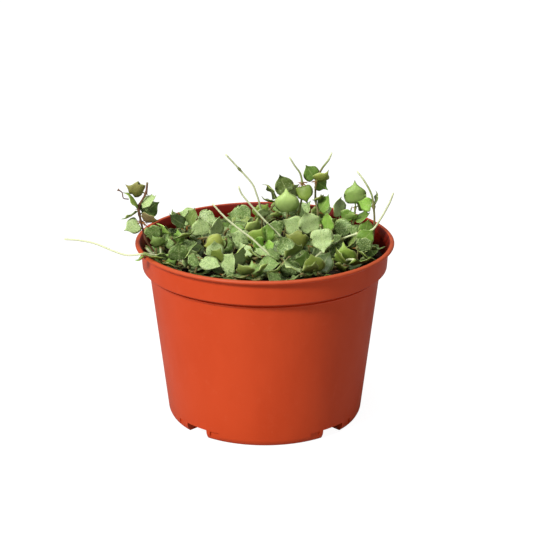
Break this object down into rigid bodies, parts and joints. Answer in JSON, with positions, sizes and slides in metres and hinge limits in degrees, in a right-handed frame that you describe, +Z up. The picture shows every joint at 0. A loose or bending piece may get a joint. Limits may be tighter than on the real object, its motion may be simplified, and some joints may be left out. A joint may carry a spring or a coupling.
{
  "type": "potted hoya curtisii",
  "caption": "Creeping hoya with small thick spade-shaped leaves on wiry stems, rooted in potting mix in a tapered plastic nursery pot with a rolled lip and notched foot.",
  "frame": {"origin": "centre of the pot's flat base, on the surface that it stands on", "axes": "+Z up along the pot's axis; -Y towards the front, where the plant is seen best; +X to the right of that view"},
  "size_m": [0.1896, 0.152, 0.1573],
  "materials": {
    "pot": "moulded terracotta-coloured polypropylene with a soft satin sheen",
    "soil": "dark moist potting mix of peat and bark, dull, with pale perlite crumbs",
    "leaf": "thick waxy leaf, dark green mottled with silver above, smooth yellow-green below",
    "stem": "young wiry stem, pale green going brown, finely downy"
  },
  "bodies": {
    "root": {"pot": "pot", "soil": "soil", "runner_left": "stem", "runner_tall": "stem", "runner_middle": "stem", "runner_front": "stem", "shoot_left_spray": "leaf", "shoot_top_left": "leaf", "shoot_top_right": "leaf", "shoot_crest": "leaf", "shoot_bright_tips": "leaf", "shoot_onion": "leaf", "shoot_right_tall": "leaf", "shoot_right_arm": "leaf", "shoot_dark_round": "leaf", "shoot_left_bulb": "leaf", "shoot_left_star": "leaf", "shoot_left_dark": "leaf", "shoot_back_left": "leaf", "shoot_mid_left": "leaf", "shoot_mid_bulb": "leaf", "shoot_mid_back": "leaf", "shoot_broad_back": "leaf", "shoot_centre": "leaf", "shoot_bright_spikes": "leaf", "shoot_silver_pair": "leaf", "shoot_silver_broad": "leaf", "shoot_silver_round": "leaf", "shoot_olive_curl": "leaf", "shoot_right_mid": "leaf", "shoot_right_green": "leaf", "shoot_right_olive": "leaf", "shoot_right_pair": "leaf", "shoot_front_dark": "leaf", "shoot_front_flat": "leaf", "shoot_front_light": "leaf", "shoot_front_bulb": "leaf", "shoot_front_mottled": "leaf", "shoot_front_tall": "leaf", "shoot_silver_low": "leaf", "shoot_rim_left": "leaf", "shoot_01": "leaf", "shoot_02": "leaf", "shoot_03": "leaf", "shoot_04": "leaf", "shoot_05": "leaf", "shoot_06": "leaf", "shoot_07": "leaf", "shoot_08": "leaf", "shoot_09": "leaf", "shoot_10": "leaf", "shoot_11": "leaf", "shoot_12": "leaf", "shoot_13": "leaf", "shoot_14": "leaf", "shoot_15": "leaf", "shoot_16": "leaf", "shoot_17": "leaf", "shoot_18": "leaf", "shoot_19": "leaf"}
  },
  "joints": []
}
